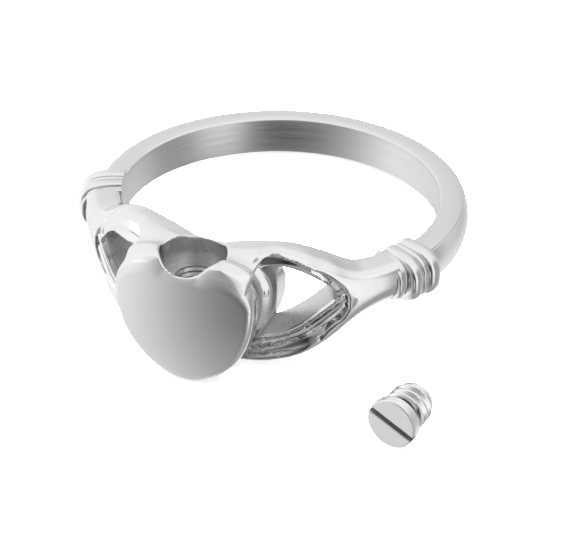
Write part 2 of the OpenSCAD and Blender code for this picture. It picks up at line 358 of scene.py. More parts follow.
def joined(parts: Sequence[Surface]) -> Surface:
    """Makes one surface of several.

    Args:
        parts: The surfaces.

    Returns:
        All their points, and all their faces, numbered anew.
    """
    points, faces, start = [], [], 0
    for p, f in parts:
        points.append(p)
        faces.append(f + start)
        start += len(p)
    return np.vstack(points), np.vstack(faces)


def make_piece(
    name: str, built: Dressed, materials: Sequence[bpy.types.Material]
) -> bpy.types.Object:
    """Makes a mesh object of points in metres, at the origin.

    Args:
        name: The piece's name.
        built: Its points, its faces as rows of four, where a row whose ends are one point is a
            triangle, and each face's material slot.
        materials: Its materials, by slot.

    Returns:
        The new object.
    """
    points, faces, which = built
    tri = faces[:, 0] == faces[:, 3]
    order = np.concatenate([np.flatnonzero(~tri), np.flatnonzero(tri)])
    sizes = np.where(tri[order], 3, 4)
    loops = np.concatenate([faces[~tri].ravel(), faces[tri][:, :3].ravel()])
    starts = np.concatenate([[0], np.cumsum(sizes)[:-1]])
    mesh = bpy.data.meshes.new(name)
    mesh.vertices.add(len(points))
    mesh.vertices.foreach_set("co", points.astype(np.float32).ravel())
    mesh.loops.add(len(loops))
    mesh.loops.foreach_set("vertex_index", loops.astype(np.int32))
    mesh.polygons.add(len(sizes))
    mesh.polygons.foreach_set("loop_start", starts.astype(np.int32))
    mesh.polygons.foreach_set("material_index", which[order].astype(np.int32))
    mesh.update(calc_edges=True)
    mesh.validate()
    mesh.shade_smooth()
    mesh.set_sharp_from_angle(angle=math.radians(SHARP_EDGE))
    for material in materials:
        mesh.materials.append(material)
    piece = bpy.data.objects.new(name, mesh)
    bpy.context.scene.collection.objects.link(piece)
    return piece


def face_middles(points: Array, faces: Array) -> Array:
    """The mean of each face's corners."""
    return points[faces].mean(1)


# The ring


@dataclass
class RingSizes:
    """Sizes that the ring's sub-assemblies share, in millimetres and degrees."""

    bore: float = BORE_RADIUS
    cuff_at: float = 61.0
    cuff_span: float = 16.0
    heart_depth: float = 3.93
    lean: float = 9.08

    def place(self, points: Array) -> Array:
        """Leans points of the ring's own frame over as it lies, and turns them to metres."""
        turn = np.array(Matrix.Rotation(-math.radians(self.lean), 3, "X"))
        return points @ turn.T * MM

    @property
    def face_radius(self) -> float:
        """Distance of the heart's domed face from the bore's middle."""
        return self.bore + self.heart_depth


def angle_of(x: Array, y: Array) -> Array:
    """Angle round the bore from the heart's middle, in degrees."""
    return np.degrees(np.arctan2(x, -y))


def at_angle(angle: Array, radius: Array, z: Array) -> Array:
    """Points at an angle in degrees from the heart's middle, a radius and a height."""
    a = np.radians(angle)
    return np.stack(np.broadcast_arrays(radius * np.sin(a), -radius * np.cos(a), z), -1)


def bore_finish(points: Array, faces: Array, bore: float) -> Array:
    """A swept piece's finish by face: brushed on the bore, polished elsewhere."""
    on_bore = np.hypot(*face_middles(points, faces)[:, :2].T) < bore + BORE_SKIN
    return np.where(on_bore, Finish.BRUSHED.value, Finish.POLISHED.value)


@dataclass
class Band:
    """The crowned band, swept round the back of the bore from cuff to cuff."""

    sizes: RingSizes
    width: float = 2.16
    thickness: float = 1.58
    edge_thickness: float = 1.25
    edge_round: float = 0.09
    bore_round: float = 0.07
    side_dome: float = 0.06
    crown_points: int = 25
    corner_points: int = 6
    bore_points: int = 5
    side_points: int = 14
    rings: int = 260

    def section(self) -> Array:
        """Draws the section: the bore's face, a side, the crown's arc and the other side.

        The crown's arc goes through the thickness in the middle and the edge thickness at the
        sides, and each side is domed by a parabola.

        Returns:
            Radius and height of each point.
        """
        half = self.width / 2
        drop = self.thickness - self.edge_thickness
        arc = (half * half + drop * drop) / (2 * drop)
        z = np.linspace(half - self.edge_round, -half + self.edge_round, self.crown_points)
        crown = self.sizes.bore + self.thickness - arc + np.sqrt(arc * arc - z * z)
        q = np.radians(np.linspace(90, 0, self.corner_points))
        corner_r = crown[0] - self.edge_round * (1 - np.cos(q))
        corner_z = half - self.edge_round * (1 - np.sin(q))
        b = np.radians(np.linspace(180, 90, self.bore_points))
        inner_r = self.sizes.bore + self.bore_round * (1 + np.cos(b))
        inner_z = half - self.bore_round * (1 - np.sin(b))
        side_r = np.linspace(inner_r[-1], corner_r[0], self.side_points)[1:-1]
        right_r = np.concatenate([inner_r, side_r, corner_r])
        right_z = np.concatenate([inner_z, np.full_like(side_r, half), corner_z])
        share = (right_r - self.sizes.bore) / self.edge_thickness
        right_z = right_z - self.side_dome * (2 * share - 1) ** 2
        r = np.concatenate([right_r, crown[1:-1], right_r[::-1]])
        h = np.concatenate([right_z, z[1:-1], -right_z[::-1]])
        return np.stack([r, h], 1)

    def build(self) -> Dressed:
        """Sweeps the section.

        Returns:
            Points in metres, faces, and each face's finish.
        """
        start = self.sizes.cuff_at + self.sizes.cuff_span / 2
        angles = np.linspace(start, 360 - start, self.rings)
        s = self.section()
        points, faces = sweep(at_angle(angles[:, None], s[None, :, 0], s[None, :, 1]))
        return self.sizes.place(points), faces, bore_finish(points, faces, self.sizes.bore)


@dataclass
class Cuff:
    """A cuff of rounded beads with grooves between them, worn round the wrist."""

    sizes: RingSizes
    thickness: float = 2.38
    rise: float = 1.5
    drop: float = 1.42
    groove: float = 0.42
    # Each bead's start and end angle past the wrist's end, and its height over the groove
    beads: Table = (
        (-1.1, 0.9, 0.26),
        (3.1, 7.6, 0.44),
        (7.7, 9.8, 0.30),
        (9.9, 15.2, 0.44),
    )
    lap: float = 0.1
    arch: float = 2.6
    fullness: float = 0.5
    # How much of a groove's depth the top and the underside take
    top_share: float = 0.3
    low_share: float = 0.45
    flatness: float = 3.0
    squareness: float = 2.5
    rings: int = 340
    section_points: int = 72
    # Angle past the wrist's end, and the underside's reach as a share of the drop
    under: Table = ((0, 0.74), (1.6, 0.76), (4.2, 0.92), (6.5, 0.98), (10, 0.99), (16, 1.0))

    def relief(self, angle: Array) -> Array:
        """Height over the groove's floor.

        At a share t of a bead's half width, the bead is as high as a root of 1 less a power of t,
        so that it is full in the middle and steep at its sides.

        Args:
            angle: Degrees past the wrist's end.

        Returns:
            The height at each angle.
        """
        height = np.zeros_like(angle)
        for start, end, tall in self.beads:
            t = np.abs((angle - (start + end) / 2) / ((end - start) / 2))
            height = np.maximum(height, tall * np.clip(1 - t**self.arch, 0, 1) ** self.fullness)
        return height

    def build(self) -> Dressed:
        """Sweeps a section like a rounded D, whose size follows the beads.

        At a share s of its half height, from -1 to 1, the section stands out from the bore by the
        thickness times a root of 1 less a power of s.

        Returns:
            Points in metres, faces, and each face's finish.
        """
        past = np.linspace(self.beads[0][0] - self.lap, self.beads[-1][1] + self.lap, self.rings)
        cut = self.groove - self.relief(past)
        top = self.rise - self.top_share * cut
        low = -self.drop * read(self.under, 1, past) + self.low_share * cut
        s = np.cos(np.linspace(0, math.pi, self.section_points))
        out = (1 - np.abs(s) ** self.flatness) ** (1 / self.squareness)
        radius = self.sizes.bore + (self.thickness - cut)[:, None] * out
        height = (top + low)[:, None] / 2 + (top - low)[:, None] / 2 * s
        right = sweep(at_angle((self.sizes.cuff_at + past)[:, None], radius, height))
        points, faces = joined([right, mirrored(*right)])
        return self.sizes.place(points), faces, bore_finish(points, faces, self.sizes.bore)


@dataclass
class Hand:
    """A hand: wrist, thumb strap above, finger strap below and the opening between them."""

    sizes: RingSizes
    ridge: float = 1.76
    thumb_rise: float = 3.02
    palm_depth: float = 0.34
    unroll: float = 10.0
    border_points: int = 60
    # Past this share of the ridge the top goes on level; the crown is read over at least this half
    most_share: float = 1.2
    least_half: float = 0.2
    thumb_bulge: float = 0.11
    bulge_angles: Span = (40.0, 52.0)
    # Beside the heart the thumb's face stands out by the lip, so that the fillet reaches it
    lip: float = 0.6
    lip_angles: Span = (17.0, 23.0)
    lip_heights: Span = (0.4, 1.6)
    # The edge at the bore, and how much rounder it is along the thumb
    bore_soft: float = 0.05
    bore_more: float = 0.4
    bore_angles: Span = (12.0, 22.0)
    bore_heights: Span = (0.6, 1.4)
    # Where the palm's floor comes up to the wrist
    rise_angles: Span = (22.0, 34.5)
    rise_heights: Span = (-2.2, -1.25)
    palm_soft: float = 0.16
    # The opening's draft and edge; at the left it closes behind, up to the angles of the last pair
    draft: float = 0.30
    opening_soft: float = 0.10
    most_deep: float = 3.0
    left_shallow: float = 0.2
    left_lid: float = 0.7
    lid_heights: Span = (0.5, 1.5)
    close_angles: Span = (20.0, 30.0)
    left_angles: Span = (26.0, 38.0)
    # The fingers: depth, extra depth, half width and shape of a groove, and where each fades out
    finger_groove: float = 0.16
    finger_rise: float = 0.02
    groove_more: float = 0.05
    groove_half: float = 0.19
    groove_lean: float = 0.85
    groove_power: float = 1.6
    fades: tuple[Span, ...] = ((47, 50), (41, 45), (38, 43))
    bead_fade: Span = (0.5, 0.8)
    finger_end: float = 44.3
    strap_depth: float = 0.4
    crease_r: float = 0.04
    crease_soft: float = 0.12
    # The crease at the thumb's end, over the hand's top: angle, radius and height
    crease: Table = (
        (39.2, 10.44, 1.45),
        (38.2, 10.25, 1.95),
        (36.8, 9.85, 2.30),
    )
    # Angle, back top, front top, bottom, crown, and softness of the upper and lower edges
    stations: Table = (
        (6.1, 2.06, 2.11, -3.41, 0.00, 0.30, 0.25),
        (12.2, 2.38, 2.50, -3.51, 0.00, 1.70, 0.25),
        (17.1, 2.70, 2.86, -3.55, 0.00, 1.70, 0.25),
        (21.4, 2.90, 2.99, -3.50, 0.00, 1.20, 0.25),
        (25.0, 3.02, 2.96, -3.37, 0.00, 0.85, 0.25),
        (29.0, 2.98, 2.70, -3.18, 0.00, 0.80, 0.25),
        (32.9, 2.82, 2.43, -2.91, 0.01, 0.80, 0.30),
        (36.9, 2.58, 2.09, -2.57, 0.05, 0.75, 0.45),
        (41.2, 2.28, 1.77, -2.17, 0.12, 0.60, 0.70),
        (45.1, 1.95, 1.50, -1.78, 0.19, 0.50, 1.00),
        (49.4, 1.62, 1.36, -1.37, 0.24, 0.45, 1.25),
        (54.9, 1.48, 1.37, -1.07, 0.24, 0.45, 1.40),
        (61.6, 1.45, 1.45, -0.97, 0.24, 0.45, 1.40),
    )
    # Angle, upper border and lower border of the palm
    palm: Table = (
        (10.4, 0.20, -3.90),
        (14.0, 0.90, -3.90),
        (16.6, 1.45, -3.90),
        (18.4, 2.30, -3.90),
        (20.0, 2.68, -3.90),
        (22.0, 2.77, -3.88),
        (24.9, 2.72, -3.83),
        (27.7, 2.57, -3.76),
        (31.1, 2.28, -3.54),
        (34.0, 2.02, -3.10),
        (38.1, 1.66, -1.66),
        (40.9, 1.27, -1.22),
        (43.0, 0.86, -0.95),
        (44.7, 0.24, -0.40),
    )
    # The keel of the thumb's face over the opening: angle and height
    keel: Table = (
        (18.0, 2.22),
        (21.0, 2.27),
        (25.0, 2.32),
        (28.9, 2.24),
        (31.1, 2.12),
        (35.5, 1.57),
        (39.3, 0.90),
    )
    # How the face leans back over the keel and under it, how far it goes on, and where it is
    keel_slopes: Span = (0.27, 0.45)
    keel_reach: Span = (0.6, 0.3)
    keel_heights: Span = (0.3, 0.9)
    keel_angles: Span = (35.0, 41.0)
    # Angle, top and bottom of the opening
    opening: Table = (
        (9.0, -0.30, -2.75),
        (13.1, 0.50, -2.60),
        (16.8, 1.35, -2.36),
        (19.0, 1.92, -2.18),
        (21.0, 2.13, -2.00),
        (25.3, 2.14, -1.75),
        (29.0, 1.95, -1.46),
        (32.9, 1.62, -1.09),
        (36.9, 1.18, -0.60),
        (40.0, 0.77, -0.20),
        (41.8, 0.43, 0.03),
        (42.7, 0.19, 0.08),
    )
    # Angle, the grooves under the bead and under each of the first two fingers, and the bottom
    fingers: Table = (
        (10.0, -2.40, -2.72, -3.12, -3.60),
        (16.0, -2.25, -2.70, -3.10, -3.60),
        (20.0, -2.16, -2.60, -3.06, -3.60),
        (24.0, -2.09, -2.45, -2.95, -3.55),
        (28.0, -1.86, -2.18, -2.80, -3.45),
        (32.0, -1.53, -1.91, -2.51, -3.30),
        (36.0, -1.08, -1.62, -2.15, -3.10),
        (40.0, -0.56, -1.30, -1.70, -2.90),
        (43.0, -0.22, -0.85, -1.30, -2.70),
        (46.0, -0.10, -0.60, -1.10, -2.60),
    )

    def column(self, n: int, angle: Array) -> Array:
        """One column of the stations, as a smooth curve of the angle."""
        return read(self.stations, n, angle)

    def outline(self, table: Table) -> tuple[Array, Array]:
        """Draws a border from a table of angles, tops and bottoms.

        Args:
            table: The table.

        Returns:
            Angle and height of each point, along the bottom and back along the top.
        """
        a = np.linspace(table[0][0], table[-1][0], self.border_points)
        top, low = read(table, 1, a), read(table, 2, a)
        return np.concatenate([a, a[::-1]]), np.concatenate([low, top[::-1]])

    def __post_init__(self) -> None:
        """Draws the palm's border unrolled, and the opening's as seen from straight before it."""
        a, z = self.outline(self.palm)
        self.palm_border = Stencil(np.stack([np.radians(a) * self.unroll, z], 1), reach=1.0)
        a, z = self.outline(self.opening)
        self.opening_at = (self.opening[0][0] + self.opening[-1][0]) / 2
        across = self.palm_radius * np.sin(np.radians(a - self.opening_at))
        self.opening_border = Stencil(np.stack([across, z], 1), reach=1.0)

    @property
    def palm_radius(self) -> float:
        """Distance of the palm's floor from the bore's middle."""
        return self.sizes.bore + self.ridge - self.palm_depth

    @property
    def per_degree(self) -> float:
        """Millimetres of the unrolled palm for a degree."""
        return math.radians(1.0) * self.unroll

    def past_edge(self, n: int, angle: Array, gap: Array) -> Array:
        """The distance past an edge of the stations: the upright gap, less by the edge's slope.

        Args:
            n: The edge's column.
            angle: Degrees from the heart's middle.
            gap: Upright gap to the edge.

        Returns:
            The distances.
        """
        slope = (self.column(n, angle + 0.5) - self.column(n, angle - 0.5)) / self.per_degree
        return gap / np.sqrt(1 + slope * slope)

    def wrist_share(self, angle: Array, z: Array) -> Array:
        """How far, from 0 to 1, the floor has come up to the wrist under the fingers' ends."""
        return step(*self.rise_angles, angle) * (1 - step(*self.rise_heights, z))

    def keel_depth(self, angle: Array, z: Array) -> Array:
        """How far the thumb's face lies back, in proportion to the height over or under its keel.

        Args:
            angle: Degrees from the heart's middle.
            z: Heights.

        Returns:
            The depths.
        """
        past = z - read(self.keel, 1, angle)
        (over, under), (high, low) = self.keel_slopes, self.keel_reach
        depth = over * np.clip(past, 0, high) + under * np.clip(-past, 0, low)
        return depth * step(*self.keel_heights, z) * (1 - step(*self.keel_angles, angle))

    def crease_distance(self, x: Array, y: Array, z: Array) -> Array:
        """The distance to the crease's line, less its radius, which narrows to its upper end.

        Args:
            x: Places along x, in the ring's own frame.
            y: Places along y.
            z: Heights.

        Returns:
            The signed distances.
        """
        ends = [at_angle(np.float64(a), np.float64(r), np.float64(h)) for a, r, h in self.crease]
        best = np.full(np.shape(x), FAR)
        for n, (a, b) in enumerate(zip(ends, ends[1:])):
            d = b - a
            t = ((x - a[0]) * d[0] + (y - a[1]) * d[1] + (z - a[2]) * d[2]) / (d @ d)
            t = np.clip(t, 0, 1)
            gap = np.sqrt(sum((c - a[k] - t * d[k]) ** 2 for k, c in enumerate((x, y, z))))
            best = np.minimum(best, gap + self.crease_r * (n + t) / (len(ends) - 1))
        return best - self.crease_r

    def finger_relief(self, angle: Array, z: Array) -> Array:
        """Height of the fingers over the palm.

        Rounded ridges fall to grooves along the table's lines, near which the height falls by a
        power of the nearness. The grooves fade out towards the wrist, the lower ones first.

        Args:
            angle: Degrees from the heart's middle.
            z: Heights.

        Returns:
            The fingers' height at each place.
        """
        height = np.full(np.shape(z), self.finger_groove + self.finger_rise)
        for n, fade in enumerate(self.fades, 1):
            away = np.abs(z - read(self.fingers, n, angle)) * self.groove_lean
            near = np.clip(1 - away / self.groove_half, 0, 1) ** self.groove_power
            height -= (self.finger_groove + self.groove_more) * near * (1 - step(*fade, angle))
        return height * (1 - step(*self.bead_fade, z - read(self.fingers, 1, angle)))

    def block(self, x: Array, y: Array, z: Array) -> Array:
        """The uncarved hand: what its top, its bottom, its bore and its crowned face share.

        Args:
            x: Places along x, in the ring's own frame.
            y: Places along y.
            z: Heights.

        Returns:
            The signed distances.
        """
        angle = angle_of(x, y)
        out = np.hypot(x, y) - self.sizes.bore
        share = np.clip(out / self.ridge, 0, self.most_share)
        back, front = self.column(1, angle), self.column(2, angle)
        bulge = self.thumb_bulge * (1 - step(*self.bulge_angles, angle))
        top = back + (front - back) * share + bulge * 4 * share * (1 - share)
        low = self.column(3, angle)
        half = np.maximum((top - low) / 2, self.least_half)
        across = np.clip((z - (top + low) / 2) / half, -1, 1)
        lip = self.lip * (1 - step(*self.lip_angles, angle)) * step(*self.lip_heights, z)
        face = out - self.ridge - lip - self.column(4, angle) * (1 - across * across)
        hand = both(self.past_edge(2, angle, z - top), face, self.column(5, angle))
        more = self.bore_more * step(*self.bore_angles, angle) * step(*self.bore_heights, z)
        hand = both(hand, -out, self.bore_soft + more)
        return both(hand, self.past_edge(3, angle, low - z), self.column(6, angle))

    def strap(self, angle: Array, radius: Array, z: Array, floor: Array, border: Array) -> Array:
        """The finger strap: what the fingers' relief, the palm's border and the bottom share.

        Args:
            angle: Degrees from the heart's middle.
            radius: Distances from the bore's middle.
            z: Heights.
            floor: Distance of the palm's floor from the bore's middle.
            border: Distance to the palm's border.

        Returns:
            The signed distances.
        """
        relief = self.finger_relief(angle, z) * (1 - self.wrist_share(angle, z))
        end = (angle - self.finger_end) * self.per_degree
        under = self.past_edge(3, angle, self.column(3, angle) - z)
        strap = np.maximum((radius - floor - relief) * STEEP, end)
        strap = np.maximum(both(strap, under, self.column(6, angle)), border)
        return np.maximum(strap, self.palm_radius - self.strap_depth - radius)

    def carve(self, body: Array, heart: Array, left: Array, x: Array, y: Array, z: Array) -> Array:
        """Carves the hands and leaves the heart whole.

        The palm's hollow and the crease are taken from the body, the finger strap is laid in, the
        opening is taken out, and the heart is joined again.

        Args:
            body: Distance of the hands and the heart, uncarved.
            heart: Distance of the heart.
            left: Whether a place is in the left hand.
            x: Places along x, all taken to the right.
            y: Places along y.
            z: Heights.

        Returns:
            The signed distances.
        """
        angle, radius = angle_of(x, y), np.hypot(x, y)
        risen = self.wrist_share(angle, z)
        shallow = np.where(left, self.left_shallow * (1 - risen), 0.0)
        floor = self.palm_radius + self.palm_depth * risen - self.keel_depth(angle, z) + shallow
        border = self.palm_border(np.radians(angle) * self.unroll, z)
        body = both(body, -both(border, floor - radius, self.palm_soft), self.palm_soft)
        crease = np.where(left, self.crease_distance(x, y, z), FAR)
        body = both(body, -crease, self.crease_soft)
        body = np.minimum(body, self.strap(angle, radius, z, floor, border))
        closed = self.behind_palm(x, y) * (1 - step(*self.close_angles, angle))
        closed = closed + self.left_lid * step(*self.lid_heights, z)
        closed = np.where(left, closed * (1 - step(*self.left_angles, angle)), 0.0)
        opening = self.opening_distance(x, y, z) + closed
        return np.minimum(both(body, -opening, self.opening_soft), heart)

    def behind_palm(self, x: Array, y: Array) -> Array:
        """How far a place lies behind the palm's floor."""
        return np.clip(self.palm_radius - np.hypot(x, y), 0, self.most_deep)

    def opening_distance(self, x: Array, y: Array, z: Array) -> Array:
        """The opening: its border seen from the front, drawn in by a share of the depth behind.

        Args:
            x: Places along x, in the ring's own frame.
            y: Places along y.
            z: Heights.

        Returns:
            The signed distances.
        """
        m = math.radians(self.opening_at)
        side = x * math.cos(m) + y * math.sin(m)
        return self.opening_border(side, z) + self.draft * self.behind_palm(x, y)


@dataclass
class Heart:
    """The hollow heart: domed face, waist, rear plate, chamber and threaded, counterbored hole."""

    sizes: RingSizes
    lobe_x: float = 1.75
    lobe_z: float = 0.7
    lobe_r: float = 2.08
    tip_r: float = 2.2
    tip_drop: float = 4.05
    front_drop: float = 0.36
    side_r: float = 4.8
    cleft_z: float = 2.58
    rear_rise: float = 0.84
    waist: float = 0.34
    wall: float = 0.8
    # How far the face's rim is rounded, at the sides and on the lobes' crests
    rim_soft: float = 0.34
    crest_soft: float = 1.15
    crest_heights: Span = (0.7, 2.2)
    hole_y: float = 10.45
    counterbore: float = 1.67
    # The hole's mouth is wider in front
    flare: float = 0.12
    flare_heights: Span = (1.75, 2.6)
    flare_front: Span = (-9.6, -10.7)
    ledge_z: float = 1.25
    tap: float = 1.0
    tap_length: float = 1.0
    tap_lap: float = 0.3
    thread_pitch: float = 0.3
    thread_depth: float = 0.11
    # Distance in front of the bore as a share of the depth, drawn in, reach and width
    profile: Table = (
        (-0.12, 0.0, 0.0, 1.035),
        (0.12, 0.0, 0.0, 1.035),
        (0.22, 0.1, 0.15, 1.02),
        (0.29, 0.55, 0.3, 1.0),
        (0.35, 0.95, 0.42, 1.0),
        (0.43, 1.0, 0.6, 1.0),
        (0.51, 0.5, 0.75, 1.015),
        (0.58, 0.06, 0.9, 1.03),
        (0.68, 0.0, 0.98, 1.03),
        (1.00, 0.0, 1.0, 1.03),
    )

    def outline(self, count: int = 40) -> Array:
        """Draws the heart's outline.

        An arc goes round each lobe, a flatter arc down each side and an arc round the tip, and
        each touches the next.

        Args:
            count: Points along each arc.

        Returns:
            The points, as rows of x and z.
        """
        tip_z = self.tip_r - self.tip_drop
        lobe_gap, tip_gap = self.side_r - self.lobe_r, self.side_r - self.tip_r
        span = math.hypot(self.lobe_x, self.lobe_z - tip_z)
        along = (lobe_gap**2 - tip_gap**2 + span**2) / (2 * span)
        aside = math.sqrt(lobe_gap**2 - along**2)
        dx, dz = -self.lobe_x / span, (tip_z - self.lobe_z) / span
        side_x = self.lobe_x + along * dx + aside * dz
        side_z = self.lobe_z + along * dz - aside * dx
        start = math.pi - math.asin((self.cleft_z - self.lobe_z) / self.lobe_r)
        lobe_end = math.atan2(self.lobe_z - side_z, self.lobe_x - side_x)
        tip_end = math.atan2(tip_z - side_z, -side_x)
        arcs = (
            (self.lobe_x, self.lobe_z, self.lobe_r, start, lobe_end),
            (side_x, side_z, self.side_r, lobe_end, tip_end),
            (0.0, tip_z, self.tip_r, tip_end, -math.pi / 2),
        )
        half = np.vstack(
            [
                np.stack([cx + r * np.cos(t), cz + r * np.sin(t)], 1)
                for cx, cz, r, a, b in arcs
                for t in [np.linspace(a, b, count)]
            ]
        )
        return np.vstack([half, (half * np.array([-1.0, 1.0]))[::-1]])

    def __post_init__(self) -> None:
        """Keeps the outline as a map."""
        self.border = Stencil(self.outline(), pitch=0.03, reach=2.0)

    def level(self, z: Array, reach: Array) -> Array:
        """Height in the outline's own plane, where the lobes and the tip reach less far.

        Args:
            z: Heights.
            reach: How far the outline reaches there, from 0 at the back to 1 at the face.

        Returns:
            The heights to read the outline at.
        """
        upper = self.lobe_z + (z - self.lobe_z) / (self.rear_rise + (1 - self.rear_rise) * reach)
        turn = np.clip((self.lobe_z - z) / (self.lobe_z + self.tip_drop), 0, 1) * math.pi / 2
        return np.where(z > self.lobe_z, upper, z + self.front_drop * reach * np.sin(turn))

    def distance(self, x: Array, y: Array, z: Array) -> Array:
        """The solid heart: its outline, drawn in along the profile, under the face's ball.

        Args:
            x: Places along x, in the ring's own frame.
            y: Places along y.
            z: Heights.

        Returns:
            The signed distances.
        """
        share = (-y - self.sizes.bore) / self.sizes.heart_depth
        drawn, reach, wide = (read(self.profile, n, share) for n in (1, 2, 3))
        side = self.border(x / wide, self.level(z, reach)) + drawn * self.waist
        face = np.sqrt(x * x + y * y + z * z) - self.sizes.face_radius
        soft = self.rim_soft + (self.crest_soft - self.rim_soft) * step(*self.crest_heights, z)
        return both(side, face, soft)

    def hollow(self, x: Array, y: Array, z: Array) -> Array:
        """The hole: a counterbore, a threaded hole and the chamber.

        The thread is a ridge whose height falls as a straight line from its helix.

        Args:
            x: Places along x, in the ring's own frame.
            y: Places along y.
            z: Heights.

        Returns:
            The signed distances.
        """
        from_axis = np.hypot(x, y + self.hole_y)
        flare = self.flare * step(*self.flare_heights, z) * step(*self.flare_front, y)
        mouth = np.maximum(from_axis - self.counterbore - flare, self.ledge_z - z)
        turn = np.arctan2(y + self.hole_y, x) / (2 * math.pi)
        phase = np.mod(z / self.thread_pitch - turn, 1.0)
        ridge = self.thread_depth * (1 - np.abs(2 * phase - 1))
        bottom = self.ledge_z - self.tap_length
        hole = np.maximum((from_axis - self.tap - ridge) * STEEP, bottom - self.tap_lap - z)
        chamber = np.maximum(self.border(x, z) + self.wall + self.waist, z - bottom)
        ball = np.sqrt(x * x + y * y + z * z) - (self.sizes.face_radius - self.wall)
        chamber = np.maximum(np.maximum(chamber, ball), y + self.sizes.bore + self.wall)
        return np.minimum(np.minimum(mouth, hole), chamber)


@dataclass
class Head:
    """The front of the ring, cast in one: both hands and the heart between them."""

    sizes: RingSizes
    hand: Hand
    heart: Heart
    pitch: float = 0.077
    # The fillet between the hands and the heart, at the fingers and at the thumbs
    web_low: float = 0.12
    web_high: float = 1.6
    web_heights: Span = (-0.2, 1.4)
    # The edge of the hole, and how much rounder it is in front
    hole_soft: float = 0.08
    hole_more: float = 0.2
    hole_heights: Span = (1.5, 1.9)
    hole_front: Span = (-10.2, -11.2)
    bore_soft: float = 0.05
    end_angle: float = 61.4
    mm_per_degree: float = 0.15
    # The space that is searched: past the wrists, in front, below and above, and its back
    wrist_out: float = 2.2
    room: tuple[float, ...] = (0.2, 0.15, 0.65, 0.25)
    back_y: float = -3.9
    # The satin face's depth at the rim, and how much more on the lobes
    rim: Span = (0.03, 0.1)
    rim_heights: Span = (0.3, 1.8)
    # Where the grooves are left as cast, darker by painted shade: depth from the palm, top, end and
    # way inside the border
    groove_depths: Span = (-0.05, 0.3)
    groove_top: float = 0.2
    groove_end: float = 44.5
    groove_margin: float = 0.12
    groove_share: float = 0.6
    # Where the waist is left as cast, darker by painted shade: share of the heart's depth, top, end
    # and way behind the palm
    waist_depths: Span = (0.3, 0.55)
    waist_top: float = 1.9
    waist_end: float = 24.0
    waist_back: float = 1.3
    # How near to a wall a face is taken for a part of it
    near_wall: float = 0.06
    near_hole: float = 0.03
    wall_start: float = 0.1

    def distance(self, x: Array, y: Array, z: Array) -> Array:
        """The whole head: the hands flow into the heart in a fillet, and are carved and bored.

        Args:
            x: Places along x, in the ring's own frame.
            y: Places along y.
            z: Heights.

        Returns:
            The signed distances.
        """
        left, x = x < 0, np.abs(x)
        heart = self.heart.distance(x, y, z)
        web = self.web_low + (self.web_high - self.web_low) * step(*self.web_heights, z)
        head = either(self.hand.block(x, y, z), heart, web)
        head = self.hand.carve(head, heart, left, x, y, z)
        front = step(*self.hole_heights, z) * step(*self.hole_front, y)
        head = both(head, -self.heart.hollow(x, y, z), self.hole_soft + self.hole_more * front)
        head = both(head, self.sizes.bore - np.hypot(x, y), self.bore_soft)
        return np.maximum(head, (angle_of(x, y) - self.end_angle) * self.mm_per_degree)

    def finishes(self, m: Array) -> Array:
        """Names each face's finish.

        The face and the ledge in the hole are satin, the bore, the opening's walls and the hole's
        wall are brushed, and the finger grooves and the heart's waist are left as cast, with a
        darker tint that is painted shade.

        Args:
            m: The faces' middles.

        Returns:
            Each face's finish.
        """
        hand, heart = self.hand, self.heart
        x, y, z = np.abs(m[:, 0]), m[:, 1], m[:, 2]
        radius, angle, palm = np.hypot(x, y), angle_of(x, y), hand.palm_radius
        which = np.full(len(m), Finish.POLISHED.value)
        which[radius < self.sizes.bore + BORE_SKIN] = Finish.BRUSHED.value
        rim = self.rim[0] + self.rim[1] * step(*self.rim_heights, z)
        which[np.sqrt((m * m).sum(1)) > self.sizes.face_radius - rim] = Finish.SATIN.value
        relief = hand.finger_relief(angle, z)
        back, front = self.groove_depths
        groove = (radius > palm + back) & (radius < palm + front) & (radius < palm + relief)
        groove &= z < np.minimum(read(hand.fingers, 1, angle) + self.groove_margin, self.groove_top)
        groove &= hand.palm_border(np.radians(angle) * hand.unroll, z) < -self.groove_margin
        groove &= (relief < self.groove_share * hand.finger_groove) & (angle < self.groove_end)
        wall = np.abs(hand.opening_distance(x, y, z)) < self.near_wall
        wall &= radius < palm - self.wall_start
        back, front = self.waist_depths
        depth = (-y - self.sizes.bore) / self.sizes.heart_depth
        waist = (depth > back) & (depth < front) & (z < self.waist_top)
        waist &= (angle < self.waist_end) & (radius > palm - self.waist_back)
        hole = np.hypot(x, y + heart.hole_y) < heart.counterbore + self.near_hole
        which[hole & (np.abs(z - heart.ledge_z) < self.near_wall)] = Finish.SATIN.value
        which[(wall | hole) & (which == Finish.POLISHED.value)] = Finish.BRUSHED.value
        # Painted shade: the grooves and the waist take the darker as-cast steel
        which[(groove | waist) & (which == Finish.POLISHED.value)] = Finish.CAST_AND_SHADE.value
        return which

    def build(self) -> Dressed:
        """Draws the head's skin.

        Returns:
            Points in metres, faces, and each face's finish.
        """
        side, front, below, above = self.room
        reach = (self.sizes.bore + self.wrist_out) * math.sin(math.radians(self.end_angle)) + side
        low = np.array([-reach, -self.sizes.face_radius - front, -self.heart.tip_drop - below])
        high = np.array([reach, self.back_y, self.hand.thumb_rise + above])
        points, faces = skin(self.distance, low, high, self.pitch)
        return self.sizes.place(points), faces, self.finishes(face_middles(points, faces))


